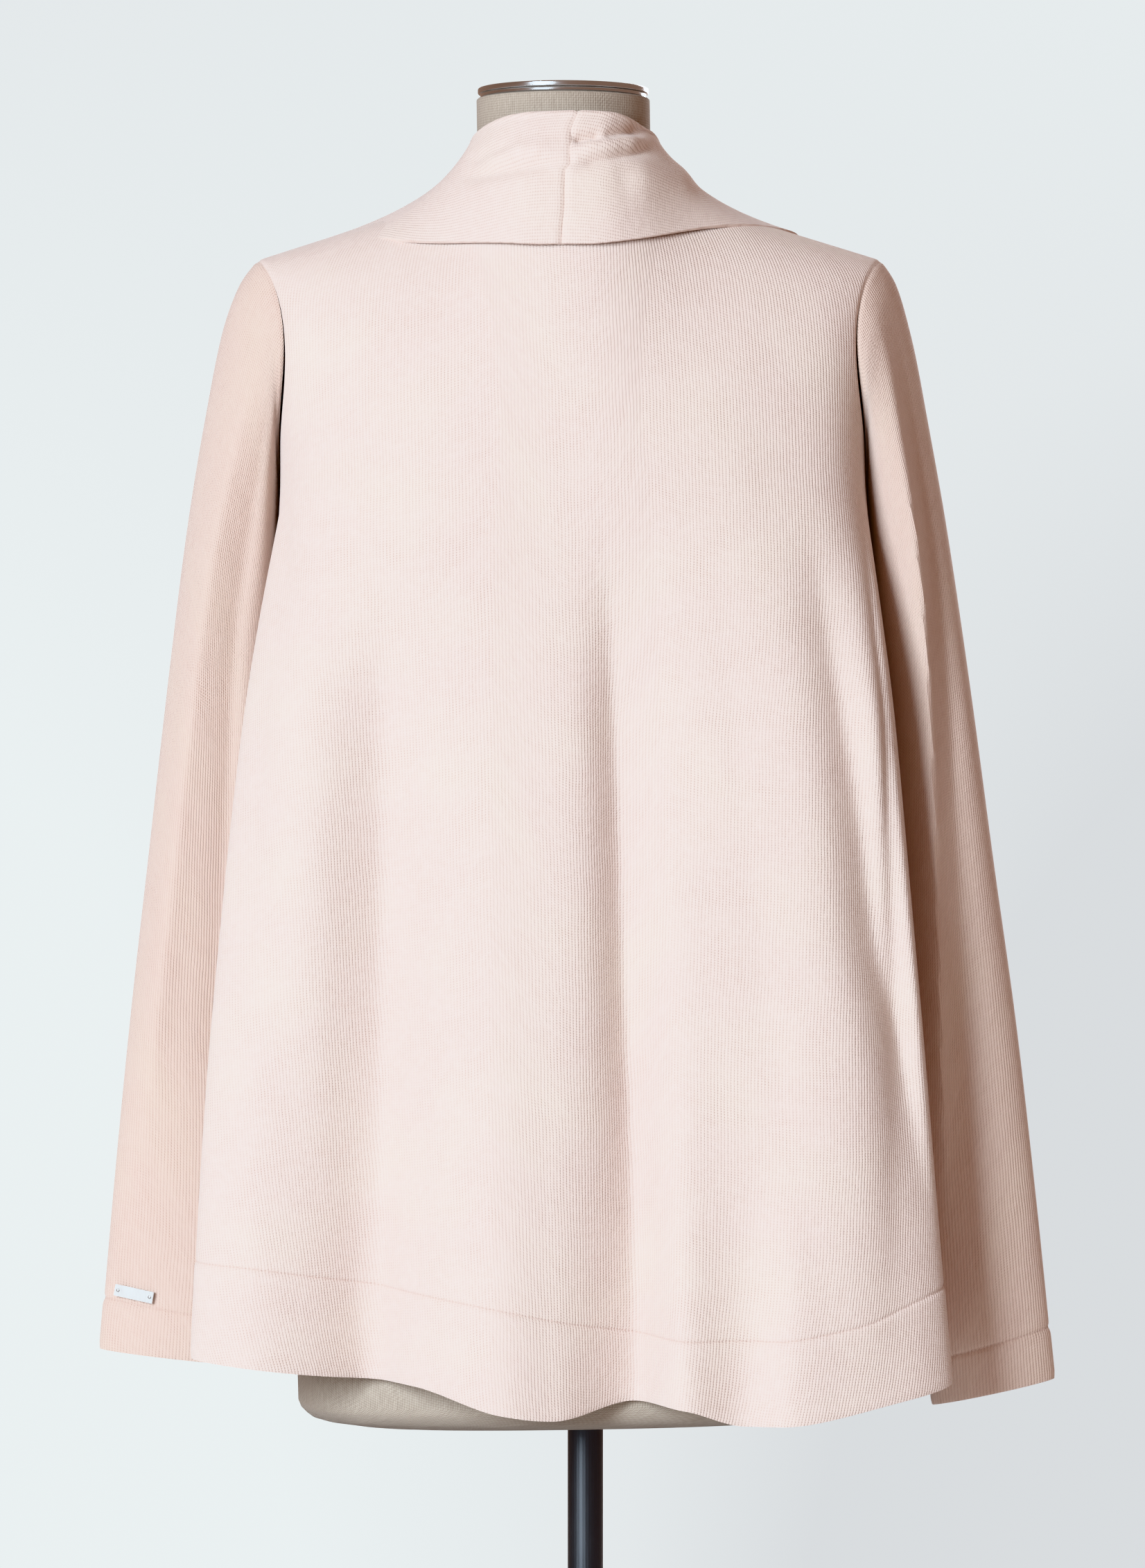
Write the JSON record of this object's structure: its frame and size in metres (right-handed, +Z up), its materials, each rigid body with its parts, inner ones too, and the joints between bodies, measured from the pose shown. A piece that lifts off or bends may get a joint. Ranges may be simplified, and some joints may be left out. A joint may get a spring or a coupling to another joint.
{
  "type": "cardigan on a dress form",
  "caption": "Open-front swing-back knit cardigan with a wide shawl collar and long set-in sleeves, hung on a limbless linen dress form on a round table stand.",
  "frame": {"origin": "middle of the base plate's underside, on the axis of the pole", "axes": "+Z up along the pole; the cardigan's front faces -Y; +X is towards the wearer's left"},
  "size_m": [0.5784, 0.32, 1.1243],
  "materials": {
    "back": "fine blush-pink knit, matt",
    "front_left": "fine blush-pink knit, matt",
    "front_right": "fine blush-pink knit, matt",
    "sleeve_left": "fine blush-pink knit, matt",
    "sleeve_right": "fine blush-pink knit, matt",
    "collar_left": "fine blush-pink knit, matt",
    "collar_right": "fine blush-pink knit, matt",
    "cuff_plate": "small bare plate, satin",
    "form_torso": "natural linen, plain weave",
    "neck_cap": "polished disc with a darker rim",
    "pole": "dark gunmetal tube, satin",
    "base": "dark round plate, satin"
  },
  "bodies": {
    "root": {"back": "back", "front_left": "front_left", "front_right": "front_right", "sleeve_left": "sleeve_left", "sleeve_right": "sleeve_right", "collar_left": "collar_left", "collar_right": "collar_right", "cuff_plate": "cuff_plate", "form_torso": "form_torso", "neck_cap": "neck_cap", "pole": "pole", "base": "base"}
  },
  "joints": []
}
